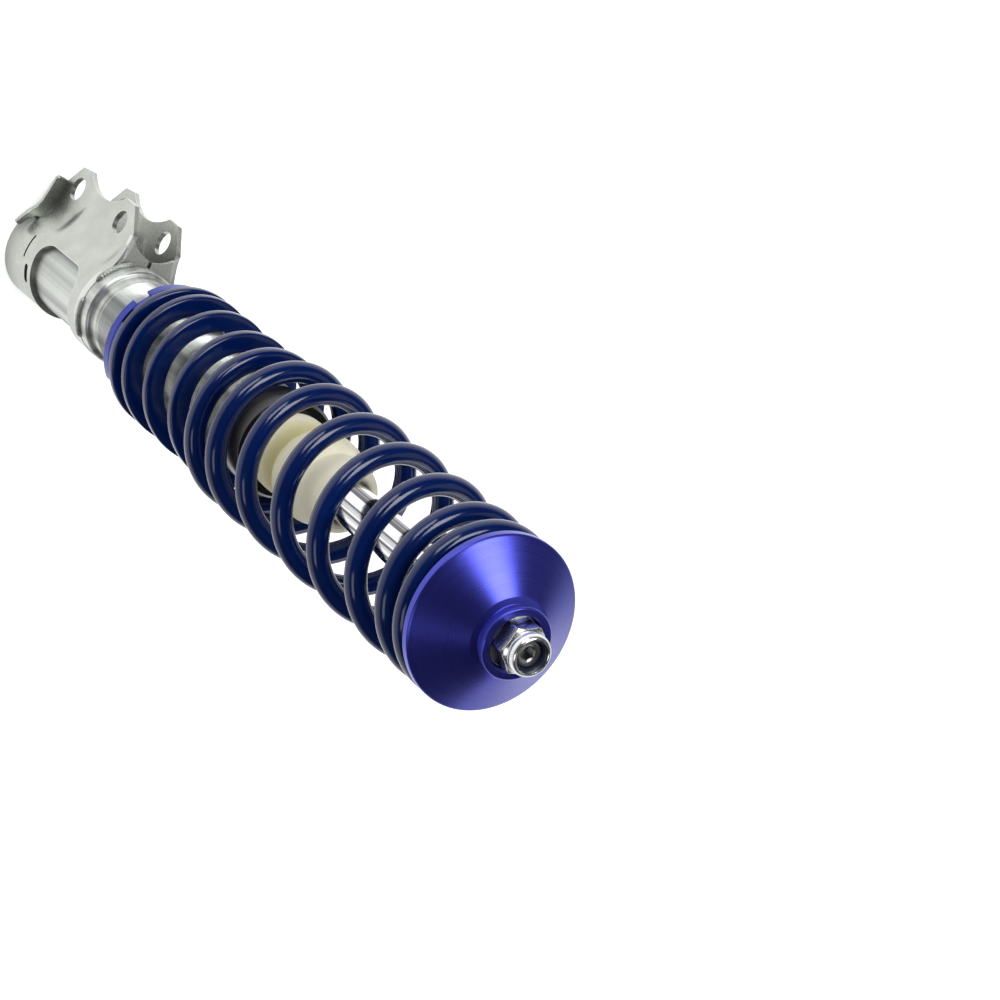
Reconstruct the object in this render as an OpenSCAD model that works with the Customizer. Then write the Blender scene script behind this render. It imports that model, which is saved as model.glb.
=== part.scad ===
// Height-adjustable suspension strut with its coil spring.
// +Z runs along the strut to the rod end, the ears point to +X, the knuckle bolts lie along Y.
// The origin is the middle of the two knuckle bolts.

/* [Knuckle bracket] */
// Distance between the two knuckle bolts
bolt_spacing = 57.5; // [50:0.5:64]
// Distance from the strut axis to the bolt line
bolt_offset = 41; // [38:0.5:46]
// Diameter of the knuckle bolt holes
bolt_hole_d = 13.5; // [10:0.1:15]
// Clear gap between the ears
ear_gap = 27; // [25:0.5:31]
// Thickness of the bracket sheet
sheet_t = 3; // [2.5:0.1:3.5]
// How far an ear tip reaches past the bolt line
tip_reach = 13; // [11:0.5:16]
// Length of the flat at an ear tip
tip_flat = 11; // [8:0.5:14]
// Depth of the scallop between the two ear tips
scallop_depth = 8; // [5:0.5:10]
// How far the bracket reaches above the middle of the bolts
bracket_above = 54; // [50:0.5:60]
// How far the bracket reaches below the middle of the bolts
bracket_below = 50; // [47:0.5:56]
// How far the sloping edge of the ears drops from the collar to the outer corner
ear_edge_drop = 6.5; // [3:0.5:10]
// How far the flat round each bolt hole starts on the tube side of the hole
pad_start = 14; // [11:0.5:17]
// How far the sheet slopes towards the ear edge between the two flats
valley_reach = 26; // [18:0.5:30]
// Height of the stiffening lip on the lower edge
lip_height = 7; // [4:0.5:9]
// Gap between the two folded webs
web_gap = 2.4; // [1.5:0.1:5]
// Width of the folded webs beyond the tube
web_reach = 6; // [4:0.5:9]
// Height of the window in the back of the bracket
window_h = 53; // [40:1:60]
// Corner radius of the window
window_r = 12; // [6:0.5:16]
// Length of the drain slot
slot_l = 11; // [6:0.5:14]
// Width of the drain slot
slot_w = 4; // [2.5:0.1:5]

/* [Strut tube] */
// Outer diameter of the threaded strut tube
tube_d = 50; // [46:0.5:52]
// Wall of the strut tube
tube_wall = 3; // [2.5:0.1:3.5]
// Height of the tube's upper end above the middle of the bolts
tube_above = 244; // [240:1:250]
// Height of the raised ring above the bracket
shoulder_h = 10; // [6:0.5:12]
// How far the raised ring stands out from the tube
shoulder_out = 2.8; // [1.5:0.1:3.2]
// Thickness of the bottom cap
base_t = 5; // [4:0.5:7]
// Radius of a weld bead
weld_r = 1.7; // [1.2:0.1:2.2]

/* [Inner cartridge] */
// Inner diameter of the pressure tube
pressure_bore = 35; // [32:0.5:36]
// Wall of the pressure tube
pressure_wall = 1.5; // [1:0.1:2]
// Height of the base valve
valve_h = 12; // [10:0.5:16]
// Height of the rod guide
guide_h = 20; // [16:0.5:24]
// Depth of the rod guide's spigot in the pressure tube
guide_spigot = 7; // [5:0.5:9]
// Wall of the guide bush
bush_wall = 1.5; // [1:0.1:2]
// Height of the rod seal
seal_h = 8; // [6:0.5:9]
// Height of the piston
piston_h = 22; // [18:0.5:26]
// Height of the sealing band round the piston
band_h = 9; // [6:0.5:12]
// Height of the rebound stop
rebound_h = 10; // [8:0.5:14]
// Distance from the rod guide down to the rebound stop
rebound_gap = 40; // [36:0.5:46]
// Across flats of the piston nut
piston_nut_af = 19; // [17:0.5:22]
// Height of the piston nut
piston_nut_h = 10; // [8:0.5:12]

/* [Gland cap and bump stop] */
// Height of the gland cap
cap_h = 22; // [20:0.5:26]
// Wall of the gland cap's skirt
cap_wall = 1.6; // [1.2:0.1:2.2]
// Thickness of the gland cap's top
cap_top = 8; // [7:0.5:9]
// Length of the bump stop
bump_h = 66; // [56:1:70]
// Diameter of the bump stop's wide body
bump_d = 46; // [42:0.5:50]
// Diameter of the bump stop's waist
bump_waist_d = 35; // [32:0.5:38]

/* [Piston rod] */
// Diameter of the piston rod
rod_d = 22; // [20:0.5:24]
// Diameter of the threaded rod end
stud_d = 14; // [12:0.5:15]
// Diameter of the rod's lower end, which carries the piston
rod_foot_d = 12; // [10:0.5:13]
// Across flats of the hex socket in the rod end
socket_af = 6; // [5:0.5:7]
// Depth of the hex socket
socket_depth = 8; // [5:0.5:10]

/* [Spring seats] */
// Height of the lower spring seat above the middle of the bolts
lower_seat_z = 117.5; // [113:0.5:122]
// Outer diameter of the spring perch
perch_d = 73; // [71:0.5:78]
// Thickness of the spring perch's flange
perch_h = 5; // [4:0.5:8]
// Height of the perch's centring spigot above its seat
spigot_h = 9; // [6:0.5:11]
// Outer diameter of the lock ring
lock_d = 72; // [70:0.5:76]
// Height of the lock ring
lock_h = 7.5; // [6:0.5:9]
// Number of spanner notches in each ring
notch_count = 4; // [3:1:8]
// Width of a spanner notch
notch_w = 9; // [6:0.5:10]
// Depth of a spanner notch
notch_depth = 4; // [3:0.5:5]
// Outer diameter of the upper spring seat
seat_d = 88; // [86:0.5:92]
// Height of the upper seat's rim band
seat_rim = 5; // [4:0.5:7]
// Height of the upper seat from its spring face to its small end
seat_h = 28; // [26:0.5:32]
// Outer diameter of the upper seat's small end
seat_neck_d = 36; // [34:0.5:40]
// Depth of the recess round the nut
nut_recess = 6; // [5:0.5:7]
// Wall of the upper seat
seat_wall = 4; // [3.5:0.1:4.5]
// Depth of the ring that centres the spring in the upper seat
seat_spigot = 8; // [5:0.5:10]

/* [Coil spring] */
// Installed height of the spring
spring_h = 338.5; // [332:0.5:348]
// Outer diameter of the round coils
coil_d = 89; // [88:0.5:91]
// Outer diameter of the flat coils
flat_coil_d = 79; // [78:0.5:81]
// Diameter of the round wire
wire_d = 11; // [10:0.5:11.5]
// Radial width of the flattened wire
flat_w = 10.8; // [10:0.1:11]
// Axial thickness of the flattened wire
flat_t = 6; // [5:0.1:6]
// Number of turns
turns = 11.75; // [11.5:0.25:12]

/* [Top nut] */
// Across flats of the top nut
nut_af = 22; // [20:0.5:23]
// Height of the nut's hexagon
nut_hex_h = 12; // [10:0.5:14]
// Height of the nut's rounded collar
nut_collar_h = 6; // [5:0.5:7]
// Thickness of the washer
washer_t = 2; // [1.5:0.1:3]
// Outer diameter of the washer
washer_d = 26.5; // [26:0.5:27]

/* [Clearances] */
// Radial running clearance of the rings on the strut tube
thread_clear = 0.05; // [0.02:0.01:0.1]
// Radial running clearance of the rod in its bush
rod_clear = 0.03; // [0.01:0.01:0.1]
// Gap between soft or curved pieces and their neighbours
soft_gap = 0.3; // [0.2:0.05:0.5]
// Radial clearance of the piston in the pressure tube
piston_clear = 0.35; // [0.2:0.05:0.6]

/* [Hidden] */
$fn = 72;
cut = 0.5;

// Strut tube and bracket
tube_r = tube_d / 2;
bore_r = tube_r - tube_wall;
wrap_r = tube_r + sheet_t;
ear_out = ear_gap / 2 + sheet_t;
ear_in = ear_gap / 2;
tip_x = bolt_offset + tip_reach;
bolt_z = bolt_spacing / 2;
wrap_angle = 60;
wrap_x = wrap_r * cos(wrap_angle);
wrap_y = wrap_r * sin(wrap_angle);
lip_top = -bracket_below + 9.5;
lip_bottom = lip_top - sheet_t;
corner_x = bolt_offset - 0.5;
corner_z = bracket_above - ear_edge_drop;
edge_tilt = atan(ear_edge_drop / (corner_x - wrap_x));
window_top = bracket_above - 15;
shoulder_r = tube_r + shoulder_out;

// Cartridge, from the gland cap down
cap_top_z = tube_above + cap_top;
seal_z = tube_above - seal_h;
guide_z = seal_z - guide_h;
pressure_r = pressure_bore / 2;
pressure_out = pressure_r + pressure_wall;
valve_z = -bracket_below + base_t;
pressure_z = valve_z + valve_h / 2;
rod_r = rod_d / 2;
rebound_z = guide_z - rebound_gap - rebound_h;
piston_z = rebound_z - 8 - piston_h;
rod_low = piston_z - piston_nut_h - 2;

// Spring seats and rod end
upper_seat_z = lower_seat_z + spring_h;
neck_z = upper_seat_z + seat_h;
recess_z = neck_z - nut_recess;
plate_z = recess_z - 8;
nut_z = recess_z + washer_t;
nut_top = nut_z + nut_hex_h + nut_collar_h;
stud_top = nut_top - 4;
seat_spigot_r = coil_d / 2 - wire_d - 0.9;
perch_spigot_r = flat_coil_d / 2 - flat_w - 0.9;
// Where a notch of the lock ring and one of the perch lie round the axis
lock_turn = 56.5;
perch_turn = 76.5;

// Stands its children on the strut axis
module on_axis() {
    translate([-bolt_offset, 0, 0]) children();
}

// A plain ring
module ring(outer, inner, z, h) {
    translate([0, 0, z]) difference() {
        cylinder(r = outer, h = h);
        translate([0, 0, -cut]) cylinder(r = inner, h = h + 2 * cut);
    }
}

// Its children and their mirror image across the XZ plane
module both_sides() {
    children();
    mirror([0, 1, 0]) children();
}

// ---------- Strut tube ----------

module strut_tube() {
    color("silver") on_axis() difference() {
        union() {
            translate([0, 0, -bracket_below]) cylinder(r = tube_r, h = tube_above + bracket_below);
            translate([0, 0, bracket_above]) rotate_extrude() polygon([
                [0, 0], [shoulder_r, 0], [shoulder_r, shoulder_h - 1.5],
                [tube_r, shoulder_h], [0, shoulder_h]]);
        }
        translate([0, 0, -bracket_below - cut])
            cylinder(r = bore_r, h = tube_above + bracket_below + 2 * cut);
    }
}

// Dished cap welded into the bottom of the tube
module base_cap() {
    color("silver") on_axis() translate([0, 0, -bracket_below]) rotate_extrude() polygon([
        [0, 2], [bore_r - 5, 2], [bore_r - 2.5, 0], [bore_r, 0], [bore_r, base_t],
        [0, base_t]]);
}

// ---------- Knuckle bracket ----------

// 1 on the flats round the bolt holes, falling to 0 between and beyond them
function on_pad(z) = exp(-pow((abs(z) - bolt_z) / 14, 4));
// Where the sheet reaches the ear plane at height z
function flat_x(z) = bolt_offset + valley_reach - pad_start - 14
    + (14 - valley_reach) * on_pad(z);
function slope_part(x, z) = max(0, 1 - (x - wrap_x) / (flat_x(z) - wrap_x));
// Outer face of the sheet, which starts just inside the face of the wrapped part
seam = 0.06;
function outer_y(x, z) = x < wrap_x ? sqrt(wrap_r * wrap_r - x * x) - seam
    : ear_out + (wrap_y - seam - ear_out) * pow(slope_part(x, z), 2);
function sheet_slope(x, z) = x < wrap_x ? 0.4
    : 2 * (wrap_y - ear_out) * slope_part(x, z) / (flat_x(z) - wrap_x);
// Inner face, one sheet thickness in from the outer face
function inner_y(x, z) = outer_y(x, z) - sheet_t * sqrt(1 + pow(sheet_slope(x, z), 2));

// One ear with its pressed flats and valley, before its outline is cut
module ear_sheet() {
    xs = concat([wrap_x - 3], [for (i = [0 : 12]) wrap_x + (tip_x + 2 - wrap_x) * i / 12]);
    zs = [for (k = [0 : 24]) -bracket_below - 1 + (bracket_above + bracket_below + 2) * k / 24];
    nx = len(xs);
    nz = len(zs);
    points = concat(
        [for (z = zs) for (x = xs) [x, outer_y(x, z), z]],
        [for (z = zs) for (x = xs) [x, inner_y(x, z), z]]);
    back = nx * nz;
    outer_faces = [for (k = [0 : nz - 2]) for (i = [0 : nx - 2]) for (half = [0, 1])
        let (a = k * nx + i) half == 0 ? [a, a + 1, a + nx] : [a + 1, a + nx + 1, a + nx]];
    inner_faces = [for (f = outer_faces) [f[0] + back, f[2] + back, f[1] + back]];
    rim = concat([for (i = [0 : nx - 1]) i],
                 [for (k = [1 : nz - 1]) k * nx + nx - 1],
                 [for (i = [nx - 2 : -1 : 0]) (nz - 1) * nx + i],
                 [for (k = [nz - 2 : -1 : 1]) k * nx]);
    rim_faces = [for (i = [0 : len(rim) - 1]) for (half = [0, 1])
        let (a = rim[i], b = rim[(i + 1) % len(rim)])
        half == 0 ? [b, a, b + back] : [a, a + back, b + back]];
    polyhedron(points, concat(outer_faces, inner_faces, rim_faces), convexity = 6);
}

// Side outline of the ears, with the scallop between their tips
module ear_outline() {
    tip_low = bolt_z - tip_flat / 2;
    tip_high = bolt_z + tip_flat / 2;
    scallop_r = (tip_low * tip_low + scallop_depth * scallop_depth) / (2 * scallop_depth);
    difference() {
        polygon([[0, lip_bottom], [corner_x, lip_bottom], [tip_x - 1, -tip_high],
                 [tip_x, -tip_low], [tip_x, tip_low], [tip_x - 0.5, tip_high],
                 [corner_x, corner_z], [wrap_x, bracket_above], [0, bracket_above]]);
        translate([tip_x - scallop_depth + scallop_r, 0]) circle(r = scallop_r, $fn = 120);
    }
}

// Sloping web folded in from the upper edge of one ear
module web() {
    free_edge = [for (i = [0 : 6]) let (t = i / 6)
        [(1 - t) * (1 - t) * (tube_r + web_reach) + 2 * t * (1 - t) * (tube_r + web_reach + 1)
             + t * t * (corner_x - 1),
         (1 - t) * (1 - t) * web_gap / 2 + 2 * t * (1 - t) * ear_in * 0.7
             + t * t * (ear_in + sheet_t / 2)]];
    translate([corner_x, 0, corner_z]) rotate([0, edge_tilt, 0])
        translate([-corner_x, 0, -sheet_t])
            linear_extrude(height = sheet_t - 0.1)
                polygon(concat([[wrap_x - 1, web_gap / 2]], free_edge,
                               [[wrap_x + 12, ear_in + sheet_t / 2], [wrap_x - 1, wrap_y - 3]]));
}

// Lip turned out along the lower edge, from the ear round to the tube
module lip() {
    translate([0, 0, lip_bottom]) linear_extrude(height = sheet_t) difference() {
        polygon([[-2, wrap_r - 1], [-2, wrap_r + 1], [wrap_x - 8, wrap_r + lip_height * 0.7],
                 [wrap_x + 3, wrap_y + lip_height], [wrap_x + 12, ear_out + lip_height + 1],
                 [corner_x - 2, ear_out + lip_height], [corner_x, ear_out + lip_height - 2],
                 [corner_x, ear_out - sheet_t / 2], [wrap_x + 14, ear_out - sheet_t / 2],
                 [wrap_x, wrap_y - 2]]);
        circle(r = tube_r + sheet_t / 2);
    }
}

// Rounded window that bares the back of the tube
module window() {
    low = window_top - window_h;
    side = wrap_r * cos(70);
    corner = [for (a = [0 : 9 : 90]) window_r * [sin(a) - 1, 1 - cos(a)]];
    rotate([90, 0, 0]) linear_extrude(height = 4 * wrap_r, center = true) polygon(concat(
        [[-2 * wrap_r, low]],
        [for (p = corner) [side + p[0], low + p[1]]],
        [for (i = [len(corner) - 1 : -1 : 0]) [side + corner[i][0], window_top - corner[i][1]]],
        [[-2 * wrap_r, window_top]]));
}

// Drain slot with round ends and the narrow slit below it
module drain_slots() {
    rotate([0, 0, 118]) translate([tube_r - 2, 0, window_top - window_h - 6])
        rotate([0, 90, 0]) linear_extrude(height = sheet_t + 6) union() {
            square([slot_w, slot_l - slot_w], center = true);
            for (side = [-1, 1])
                translate([0, side * (slot_l - slot_w) / 2]) circle(d = slot_w, $fn = 32);
        }
    rotate([0, 0, 88]) translate([tube_r + 3, 0, window_top - window_h - 12])
        cube([sheet_t + 6, slot_l + 3, 1.6], center = true);
}

module knuckle_bracket() {
    color("gainsboro") on_axis() difference() {
        union() {
            difference() {
                translate([0, 0, -bracket_below])
                    cylinder(r = wrap_r, h = bracket_above + bracket_below);
                translate([wrap_x, -2 * wrap_r, -2 * bracket_below])
                    cube([2 * wrap_r, 4 * wrap_r, 4 * bracket_below]);
                window();
                drain_slots();
            }
            ring(wrap_r - 0.5, tube_r, bracket_above - 6, 5.8);
            both_sides() {
                intersection() {
                    ear_sheet();
                    rotate([90, 0, 0]) linear_extrude(height = 4 * wrap_r, center = true)
                        ear_outline();
                }
                web();
                lip();
            }
        }
        translate([0, 0, -bracket_below - cut])
            cylinder(r = tube_r, h = bracket_above + bracket_below + 2 * cut);
        for (z = [-bolt_z, bolt_z])
            translate([bolt_offset, 0, z]) rotate([90, 0, 0])
                cylinder(d = bolt_hole_d, h = 4 * ear_out, center = true);
    }
}

// Beads that join the bracket to the tube's raised ring
module bracket_welds() {
    bead_starts = [22, 92, 214, 284];
    color("darkgray") on_axis() difference() {
        for (start = bead_starts)
            rotate([0, 0, start]) translate([0, 0, bracket_above])
                rotate_extrude(angle = 48) translate([shoulder_r + 0.5, 0])
                    circle(r = weld_r, $fn = 24);
        translate([0, 0, bracket_above - 2 * weld_r]) cylinder(r = wrap_r, h = 2 * weld_r);
        translate([0, 0, bracket_above - cut]) cylinder(r = shoulder_r, h = shoulder_h - 1.5 + cut);
    }
}

// ---------- Cartridge inside the tube ----------

module pressure_tube() {
    color("lightgray") on_axis()
        ring(pressure_out, pressure_r, pressure_z, guide_z - pressure_z);
}

// Valve body that closes the pressure tube's foot and lets oil through its ports
module base_valve() {
    color("darkkhaki") on_axis() translate([0, 0, valve_z]) difference() {
        union() {
            rotate_extrude() polygon([
                [0, 3], [pressure_r - 5, 3], [pressure_r - 4, 0], [pressure_out, 0],
                [pressure_out, valve_h / 2], [pressure_r - 0.02, valve_h / 2],
                [pressure_r - 0.02, valve_h], [0, valve_h]]);
        }
        for (a = [0 : 60 : 300])
            rotate([0, 0, a]) translate([pressure_r - 7, 0, -cut])
                cylinder(d = 3, h = valve_h + 2 * cut, $fn = 24);
        for (a = [0 : 90 : 270])
            rotate([0, 0, a]) translate([pressure_r, 0, 1.4])
                cube([14, 5, 2.9], center = true);
    }
}

module rod_guide() {
    color("lightsteelblue") on_axis() translate([0, 0, guide_z]) rotate_extrude() polygon([
        [rod_r + rod_clear + bush_wall, -guide_spigot],
        [pressure_r - 0.02, -guide_spigot], [pressure_r - 0.02, 0], [bore_r - 2, 0],
        [bore_r - 0.02, 2], [bore_r - 0.02, guide_h],
        [rod_r + rod_clear + bush_wall, guide_h]]);
}

module guide_bush() {
    color("peru") on_axis()
        ring(rod_r + rod_clear + bush_wall, rod_r + rod_clear, guide_z - guide_spigot,
             guide_h + guide_spigot);
}

// Rubber seal with a lip cup on each face
module rod_seal() {
    color("black") on_axis() translate([0, 0, seal_z]) rotate_extrude() polygon([
        [rod_r + rod_clear, 1], [rod_r + 2, 0], [bore_r - 0.02, 0], [bore_r - 0.02, seal_h],
        [rod_r + 4, seal_h], [rod_r + 2.5, seal_h - 3], [rod_r + rod_clear, seal_h - 2]]);
}

// Screwed cap that holds the cartridge down
module gland_cap() {
    lip_r = rod_r + 4;
    color("black") on_axis() translate([0, 0, cap_top_z]) difference() {
        rotate_extrude() polygon([
            [tube_r + thread_clear, -cap_h], [tube_r + cap_wall, -cap_h],
            [tube_r + cap_wall, -2], [tube_r + cap_wall - 2, 0], [lip_r, 0],
            [lip_r, -cap_top], [tube_r + thread_clear, -cap_top]]);
        for (a = [45 : 90 : 315])
            rotate([0, 0, a]) translate([tube_r - 4.5, 0, -3])
                cylinder(d = 5, h = 4, $fn = 32);
    }
}

module rod_wiper() {
    lip_r = rod_r + 4;
    color("dimgray") on_axis() translate([0, 0, tube_above]) rotate_extrude() polygon([
        [rod_r + rod_clear, cap_top - 1.5], [rod_r + 1.5, 0], [lip_r, 0],
        [lip_r, cap_top - 0.8], [rod_r + 1, cap_top - 0.4]]);
}

// ---------- Spring seats ----------

// Evenly spaced spanner notches through the rim of a ring of height h that stands on z
module spanner_notches(d, z, h, turn) {
    for (i = [0 : notch_count - 1])
        rotate([0, 0, turn + i * 360 / notch_count])
            translate([d / 2 - notch_depth, -notch_w / 2, z - cut])
                cube([2 * notch_depth, notch_w, h + 2 * cut]);
}

module lock_ring() {
    inner = tube_r + thread_clear;
    color("slateblue") on_axis() translate([0, 0, lower_seat_z - perch_h - lock_h])
        difference() {
            rotate_extrude() polygon([
                [inner + 0.8, 0], [lock_d / 2 - 1, 0], [lock_d / 2, 1], [lock_d / 2, lock_h - 0.6],
                [lock_d / 2 - 0.6, lock_h], [inner, lock_h], [inner, 0.8]]);
            spanner_notches(lock_d, 0, lock_h, lock_turn);
        }
}

module spring_perch() {
    inner = tube_r + thread_clear;
    color("slateblue") on_axis() translate([0, 0, lower_seat_z]) difference() {
        rotate_extrude() polygon([
            [inner, -perch_h], [perch_d / 2 - 1, -perch_h], [perch_d / 2, -perch_h + 1],
            [perch_d / 2, -1], [perch_d / 2 - 1, 0], [perch_spigot_r, 0],
            [perch_spigot_r, spigot_h - 1.5], [perch_spigot_r - 1.2, spigot_h],
            [inner + 0.6, spigot_h], [inner, spigot_h - 0.8]]);
        spanner_notches(perch_d, -perch_h, perch_h, perch_turn);
    }
}

// Cone that holds the top of the spring and sits on the rod's shoulder
module upper_spring_seat() {
    r = seat_d / 2;
    neck = seat_neck_d / 2;
    hollow = seat_spigot_r - seat_wall;
    color("darkslateblue") on_axis() rotate_extrude() polygon([
        [r - 0.8, upper_seat_z], [r, upper_seat_z + 0.8], [r, upper_seat_z + seat_rim - 0.8],
        [r - 0.8, upper_seat_z + seat_rim], [neck + 2.2, neck_z - 7.5],
        [neck - 1.2, neck_z - 6.3], [neck - 1.2, neck_z - 4.6], [neck, neck_z - 4],
        [neck, neck_z - 0.8], [neck - 0.8, neck_z], [washer_d / 2 + 1.2, neck_z],
        [washer_d / 2 + 0.4, neck_z - 0.8], [washer_d / 2 + 0.4, recess_z],
        [stud_d / 2 + 0.02, recess_z], [stud_d / 2 + 0.02, plate_z],
        [rod_r + 2, plate_z], [hollow, upper_seat_z + 2], [hollow, upper_seat_z - seat_spigot],
        [seat_spigot_r - 1, upper_seat_z - seat_spigot],
        [seat_spigot_r, upper_seat_z - seat_spigot + 1], [seat_spigot_r, upper_seat_z]]);
}

// ---------- Coil spring ----------

// Rise of the wire over each of its equal stretches, from the perch up
stretch_rise = [9.5, 22.5, 29, 30, 24.5, 28.5, 38, 37.5, 37.5, 37, 24, 11.5];
stretches = len(stretch_rise);
rings_per_turn = 24;
wire_sides = 10;
// The flat coils end and the round coils begin at these turns
flat_until = 3.65;
round_from = 4.65;

function climb(k) = k <= 0 ? 0 : climb(k - 1) + stretch_rise[k - 1];
climbs = [for (k = [0 : stretches]) climb(k)];
// Slope of the wire where two stretches meet; both ends lie flat on their seats
slopes = [for (k = [0 : stretches]) k == 0 || k == stretches ? 0
    : (stretch_rise[k - 1] + stretch_rise[k]) / 2];
// Height reached after t turns, smooth from stretch to stretch
function rise(t) =
    let (u = t * stretches / turns, k = min(stretches - 1, floor(u)), s = u - k)
    climbs[k] * (2 * s * s * s - 3 * s * s + 1) + slopes[k] * (s * s * s - 2 * s * s + s)
    + climbs[k + 1] * (3 * s * s - 2 * s * s * s) + slopes[k + 1] * (s * s * s - s * s);
// Runs from 0 on the flat coils to 1 on the round coils
function roundness(t) =
    let (s = min(1, max(0, (t - flat_until) / (round_from - flat_until)))) s * s * (3 - 2 * s);
function half_w(t) = (flat_w + (wire_d - flat_w) * roundness(t)) / 2;
function half_t(t) = (flat_t + (wire_d - flat_t) * roundness(t)) / 2;
function coil_r(t) = (flat_coil_d + (coil_d - flat_coil_d) * roundness(t)) / 2 - half_w(t);
// The free wire height is stretched to the installed height between the two seats
wire_low = flat_t / 2 + soft_gap;
wire_high = spring_h - wire_d / 2 - soft_gap;
function wire_z(t) = wire_low + (wire_high - wire_low) * rise(t) / climbs[stretches];
// Corner exponent of the wire section: near a box when flat, a circle when round
function corner(t) = 0.55 + 0.45 * roundness(t);
function soft(v, e) = sign(v) * pow(abs(v), e);
function wire_point(t, side) =
    let (a = 360 * t + spring_turn, b = 360 * (side + 0.5) / wire_sides,
         r = coil_r(t) + half_w(t) * soft(cos(b), corner(t)))
    [r * cos(a), r * sin(a), wire_z(t) + half_t(t) * soft(sin(b), corner(t))];
// Where the lower end of the wire lies round the axis
spring_turn = 340;

module coil_spring() {
    last = turns * rings_per_turn;
    wire = [for (j = [0 : last]) for (side = [0 : wire_sides - 1])
        wire_point(j / rings_per_turn, side)];
    walls = [for (j = [0 : last - 1]) for (s = [0 : wire_sides - 1]) for (half = [0, 1])
        let (a = j * wire_sides + s, b = j * wire_sides + (s + 1) % wire_sides,
             c = a + wire_sides, d = b + wire_sides)
        half == 0 ? [a, c, b] : [b, c, d]];
    ends = [for (s = [1 : wire_sides - 2]) for (half = [0, 1])
        half == 0 ? [0, s, s + 1]
            : [last * wire_sides, last * wire_sides + s + 1, last * wire_sides + s]];
    color("midnightblue") on_axis() translate([0, 0, lower_seat_z])
        polyhedron(wire, concat(walls, ends), convexity = 20);
}

// Least gap between the wire and its next turn, measured on points of both
function least_gap() = min([for (j = [0 : (turns - 1) * rings_per_turn])
    let (t = j / rings_per_turn)
    min([for (p = [0 : wire_sides - 1]) for (q = [0 : wire_sides - 1])
        norm(wire_point(t, p) - wire_point(t + 1, q))])]);
echo(spring_least_gap = least_gap());

// ---------- Bump stop ----------

module bump_stop() {
    waist = bump_waist_d / 2;
    wide = bump_d / 2;
    foot = wide - 2;
    inner = rod_r + soft_gap;
    color("beige") on_axis() translate([0, 0, cap_top_z + soft_gap]) rotate_extrude() polygon([
        [inner, 0], [foot - 2, 0], [foot - 0.4, 1], [foot, 3], [foot, bump_h * 0.16],
        [foot - 1, bump_h * 0.21], [waist + 1, bump_h * 0.26], [waist, bump_h * 0.30],
        [waist + 1, bump_h * 0.34], [wide - 1.5, bump_h * 0.39], [wide, bump_h * 0.44],
        [wide, bump_h * 0.60], [wide - 1.5, bump_h * 0.65], [waist + 2, bump_h * 0.70],
        [waist + 1, bump_h * 0.74], [waist + 1.5, bump_h * 0.78], [waist + 1, bump_h * 0.92],
        [waist - 1.5, bump_h * 0.98], [waist - 3, bump_h], [inner, bump_h]]);
}

// ---------- Piston rod and what it carries ----------

module piston_rod() {
    foot = rod_foot_d / 2;
    stud = stud_d / 2;
    color("lightgray") on_axis() difference() {
        rotate_extrude() polygon([
            [0, rod_low], [foot - 1, rod_low], [foot, rod_low + 1], [foot, piston_z + piston_h],
            [rod_r - 1, piston_z + piston_h], [rod_r, piston_z + piston_h + 1],
            [rod_r, rebound_z - 2.5], [rod_r - 1, rebound_z - 2.5], [rod_r - 1, rebound_z - 0.5],
            [rod_r, rebound_z - 0.5], [rod_r, plate_z - 1], [rod_r - 1, plate_z],
            [stud, plate_z], [stud, stud_top - 1.2], [stud - 1.2, stud_top], [0, stud_top]]);
        translate([0, 0, stud_top - socket_depth])
            cylinder(d = socket_af / cos(30), h = socket_depth + cut, $fn = 6);
    }
}

// Rubber ring on its steel circlip, which ends the stroke upwards
module rebound_stop() {
    color("dimgray") on_axis() union() {
        ring(pressure_r - 2, rod_r + 0.02, rebound_z, rebound_h);
        ring(rod_r + 2.5, rod_r - 1, rebound_z - 2.5, 2);
        ring(rod_r + 2.5, rod_r + 0.02, rebound_z - 0.6, 0.7);
    }
}

module piston() {
    band_z = (piston_h - band_h) / 2;
    outer = pressure_r - piston_clear;
    color("gray") on_axis() translate([0, 0, piston_z]) difference() {
        rotate_extrude() polygon([
            [rod_foot_d / 2 + 0.02, 0], [outer - 3, 0], [outer - 3, 2], [outer - 0.8, 2],
            [outer, 2.8], [outer, band_z], [outer - 1.2, band_z], [outer - 1.2, band_z + band_h],
            [outer, band_z + band_h], [outer, piston_h - 2.8], [outer - 0.8, piston_h - 2],
            [outer - 3, piston_h - 2], [outer - 3, piston_h], [rod_foot_d / 2 + 0.02, piston_h]]);
        for (a = [0 : 45 : 315])
            rotate([0, 0, a]) translate([(rod_foot_d / 2 + outer) / 2, 0, -cut])
                cylinder(d = 3, h = piston_h + 2 * cut, $fn = 24);
    }
}

module piston_band() {
    color("saddlebrown") on_axis()
        ring(pressure_r - 0.05, pressure_r - piston_clear - 1.2,
             piston_z + (piston_h - band_h) / 2, band_h);
}

module piston_nut() {
    color("silver") on_axis() translate([0, 0, piston_z - piston_nut_h]) difference() {
        cylinder(d = piston_nut_af / cos(30), h = piston_nut_h, $fn = 6);
        translate([0, 0, -cut]) cylinder(d = rod_foot_d + 0.04, h = piston_nut_h + 2 * cut);
    }
}

// ---------- Top nut ----------

module seat_washer() {
    color("whitesmoke") on_axis() ring(washer_d / 2, stud_d / 2 + 0.02, recess_z, washer_t);
}

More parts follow.
